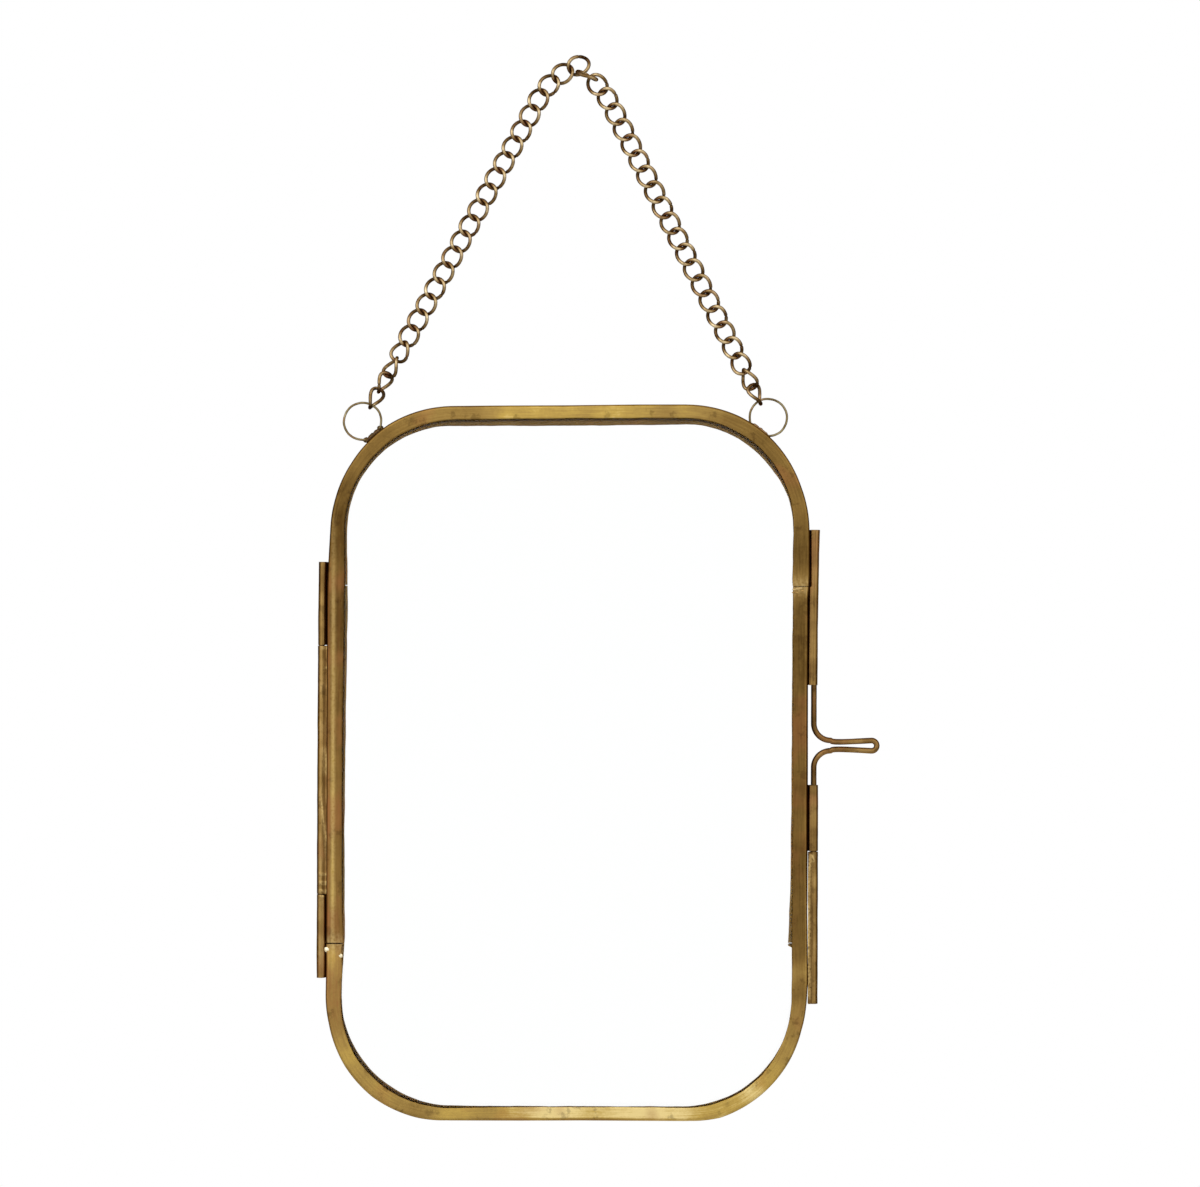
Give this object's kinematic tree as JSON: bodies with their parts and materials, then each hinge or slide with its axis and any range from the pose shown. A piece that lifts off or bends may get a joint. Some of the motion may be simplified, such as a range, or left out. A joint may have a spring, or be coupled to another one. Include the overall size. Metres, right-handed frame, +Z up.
{
  "type": "hanging photo frame",
  "caption": "Hanging brass frame with hinged glass leaves, a sliding hairpin latch, corner rings and a curb chain.",
  "frame": {"origin": "where a nail bears on the inside of the chain's top link", "axes": "+Z up, +X to the right as seen from the front, +Y away from the viewer, so the back leaf faces +Y"},
  "size_m": [0.1638, 0.0071, 0.3101],
  "materials": {
    "channel_brass": "aged and hand-worn, satin",
    "tube_brass": "aged, with solder stains",
    "rod_brass": "aged, worn bright where handled",
    "ring_wire": "aged, dull",
    "chain_wire": "aged, dark in the overlaps",
    "clear_glass": "clear, polished"
  },
  "bodies": {
    "chain": {"chain_top_link": "chain_wire", "chain_side_link": "chain_wire", "chain_links_left": "chain_wire", "chain_turned_links_left": "chain_wire", "chain_end_link_left": "chain_wire", "chain_links_right": "chain_wire", "chain_turned_link_right": "chain_wire", "chain_end_link_right": "chain_wire"},
    "back_leaf": {"back_channel_upper": "channel_brass", "back_channel_lower": "channel_brass", "back_glass": "clear_glass", "hinge_knuckle_upper": "tube_brass", "hinge_knuckle_lower": "tube_brass", "hinge_pin": "rod_brass", "latch_guide_upper": "tube_brass", "latch_guide_lower": "tube_brass", "left_hanging_ring": "ring_wire", "right_hanging_ring": "ring_wire"},
    "front_leaf": {"front_channel_upper": "channel_brass", "front_channel_lower": "channel_brass", "front_glass": "clear_glass", "front_hinge_knuckle": "tube_brass", "latch_keeper_tube": "tube_brass"},
    "latch": {"latch_hairpin": "rod_brass"}
  },
  "joints": [
    {"name": "frame_swing", "type": "hinge", "parent": "chain", "child": "back_leaf", "pos_m": [-0.003, 0, -0.10056], "axis": [0.9999, 0, 0.0126], "range_deg": [-90, 90]},
    {"name": "front_leaf_open", "type": "hinge", "parent": "back_leaf", "child": "front_leaf", "pos_m": [-0.07465, -0.0006, -0.2076], "axis": [0, 0, -1], "range_deg": [0, 180]},
    {"name": "latch_slide", "type": "slide", "parent": "back_leaf", "child": "latch", "axis": [0, 0, 1], "range_m": [-0.004, 0.01]}
  ]
}
